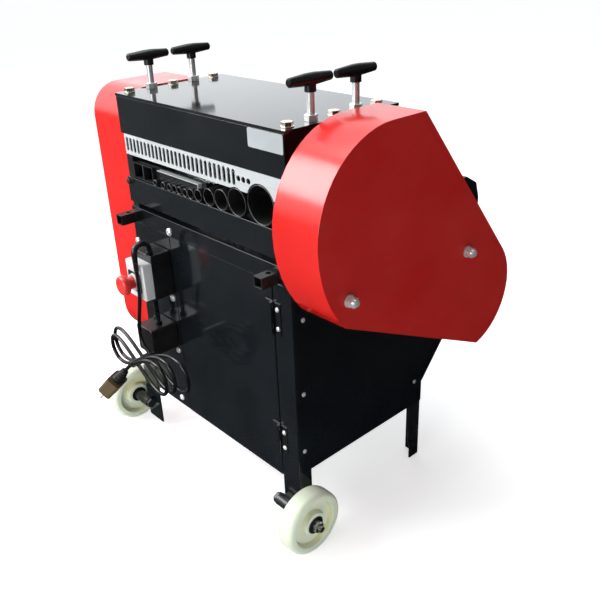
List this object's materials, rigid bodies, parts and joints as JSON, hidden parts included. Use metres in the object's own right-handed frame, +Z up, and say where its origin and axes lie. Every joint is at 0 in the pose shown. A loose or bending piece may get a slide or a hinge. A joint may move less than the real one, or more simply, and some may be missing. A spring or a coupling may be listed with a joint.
{
  "type": "wire stripping machine",
  "caption": "Floor-standing cable stripper: black cabinet on wheels and legs, feed tubes, geared blades with T-screw depth setting, belt drive under red guards, stop button and tied cord.",
  "frame": {"origin": "on the floor under the middle of the machine's box, cord left out", "axes": "+X to the machine's right, +Y from the feed side to the outlet side, +Z up"},
  "size_m": [0.747, 0.6589, 0.8335],
  "materials": {
    "black_paint": "gloss enamel",
    "red_paint": "gloss enamel",
    "pale_steel": "brushed",
    "machined_steel": "machined",
    "tube_steel": "blackened with bright rims",
    "blade_steel": "ground",
    "bronze": "turned",
    "cast_iron": "as cast with turned grooves",
    "motor_grey": "hammered enamel",
    "belt_rubber": "matt",
    "zinc": "bright zinc plate",
    "nylon": "cast nylon",
    "white_plastic": "moulded",
    "red_plastic": "moulded",
    "black_plastic": "moulded",
    "cord_rubber": "matt",
    "plug_brown": "moulded"
  },
  "bodies": {
    "frame": {"front_posts": "black_paint", "rear_legs": "black_paint", "base_deck": "black_paint", "upper_frame": "black_paint", "left_side_panel": "black_paint", "right_side_panel": "black_paint", "rear_cover": "black_paint", "fixed_panel": "black_paint", "hinge_leaves": "black_paint", "bearing_plates": "machined_steel", "top_plate": "black_paint", "front_cover": "black_paint", "slotted_plate": "pale_steel", "feed_plate": "black_paint", "feed_tubes": "tube_steel", "apron_plate": "black_paint", "rest_sockets": "black_paint", "outlet_plate": "black_paint", "roller_bushes": "bronze", "drive_belts": "belt_rubber", "jack_bearings": "cast_iron", "primary_belt": "belt_rubber", "motor_body": "motor_grey", "right_guard": "red_paint", "left_guard": "red_paint", "guard_nuts": "zinc", "top_bolts": "zinc", "lock_nuts": "zinc", "wheel_axles": "zinc", "estop_box": "white_plastic", "starter_box": "black_plastic", "junction_box": "black_plastic", "link_cables": "cord_rubber", "cord_gland": "cord_rubber", "supply_cord": "cord_rubber", "cord_hank": "cord_rubber", "plug": "plug_brown"},
    "carriage": {"bearing_blocks": "machined_steel"},
    "cutter": {"cutter_shaft": "machined_steel", "cutter_blades": "blade_steel", "cutter_gear": "machined_steel"},
    "roller": {"feed_roller": "machined_steel", "drive_pulley": "cast_iron", "roller_gear": "machined_steel"},
    "jack": {"jack_shaft": "machined_steel", "jack_pulleys": "cast_iron"},
    "motor_rotor": {"motor_pulley": "cast_iron"},
    "door": {"front_door": "black_paint"},
    "estop": {"estop_button": "red_plastic"},
    "wheel_left": {"left_wheel": "nylon"},
    "wheel_right": {"right_wheel": "nylon"},
    "screw_fl": {"t_screw_fl": "zinc", "t_handle_fl": "black_plastic"},
    "screw_fr": {"t_screw_fr": "zinc", "t_handle_fr": "black_plastic"},
    "screw_rl": {"t_screw_rl": "zinc", "t_handle_rl": "black_plastic"},
    "screw_rr": {"t_screw_rr": "zinc", "t_handle_rr": "black_plastic"}
  },
  "joints": [
    {"name": "blade_lift", "type": "slide", "parent": "frame", "child": "carriage", "axis": [0, 0, 1], "range_m": [0, 0.00525]},
    {"name": "t_screw_fl_turn", "type": "hinge", "parent": "carriage", "child": "screw_fl", "pos_m": [-0.222, -0.129, 0.706], "axis": [0, 0, 1], "range_deg": [0, 1080]},
    {"name": "t_screw_fr_turn", "type": "hinge", "parent": "carriage", "child": "screw_fr", "pos_m": [0.222, -0.129, 0.706], "axis": [0, 0, 1], "range_deg": [0, 1080]},
    {"name": "t_screw_rl_turn", "type": "hinge", "parent": "carriage", "child": "screw_rl", "pos_m": [-0.222, -0.032, 0.706], "axis": [0, 0, 1], "range_deg": [0, 1080]},
    {"name": "t_screw_rr_turn", "type": "hinge", "parent": "carriage", "child": "screw_rr", "pos_m": [0.222, -0.032, 0.706], "axis": [0, 0, 1], "range_deg": [0, 1080]},
    {"name": "roller_spin", "type": "hinge", "parent": "frame", "child": "roller", "pos_m": [0, -0.08, 0.585], "axis": [1, 0, 0], "continuous": true},
    {"name": "cutter_spin", "type": "hinge", "parent": "carriage", "child": "cutter", "pos_m": [0, -0.08, 0.673], "axis": [1, 0, 0], "continuous": true},
    {"name": "jack_spin", "type": "hinge", "parent": "frame", "child": "jack", "pos_m": [0, 0.132, 0.42], "axis": [1, 0, 0], "continuous": true},
    {"name": "motor_spin", "type": "hinge", "parent": "frame", "child": "motor_rotor", "pos_m": [-0.26, -0.069, 0.254], "axis": [1, 0, 0], "continuous": true},
    {"name": "door_hinge", "type": "hinge", "parent": "frame", "child": "door", "pos_m": [0.191, -0.203, 0.311], "axis": [0, 0, 1], "range_deg": [0, 105], "deforming": ["cord_hank", "supply_cord"]},
    {"name": "estop_press", "type": "slide", "parent": "frame", "child": "estop", "axis": [0, 1, 0], "range_m": [0, 0.005], "stiffness_N_per_m": 1500},
    {"name": "left_wheel_spin", "type": "hinge", "parent": "frame", "child": "wheel_left", "pos_m": [-0.332, -0.211, 0.0625], "axis": [1, 0, 0], "continuous": true},
    {"name": "right_wheel_spin", "type": "hinge", "parent": "frame", "child": "wheel_right", "pos_m": [0.271, -0.211, 0.0625], "axis": [1, 0, 0], "continuous": true}
  ],
  "couplings": [
    {"joint": "t_screw_fl_turn", "follows": "blade_lift", "rad_per_m": 3590.4},
    {"joint": "t_screw_fr_turn", "follows": "blade_lift", "rad_per_m": 3590.4},
    {"joint": "t_screw_rl_turn", "follows": "blade_lift", "rad_per_m": 3590.4},
    {"joint": "t_screw_rr_turn", "follows": "blade_lift", "rad_per_m": 3590.4},
    {"joint": "cutter_spin", "follows": "roller_spin", "ratio": -1},
    {"joint": "jack_spin", "follows": "roller_spin", "ratio": 2.6667},
    {"joint": "motor_spin", "follows": "roller_spin", "ratio": 6.0952}
  ]
}
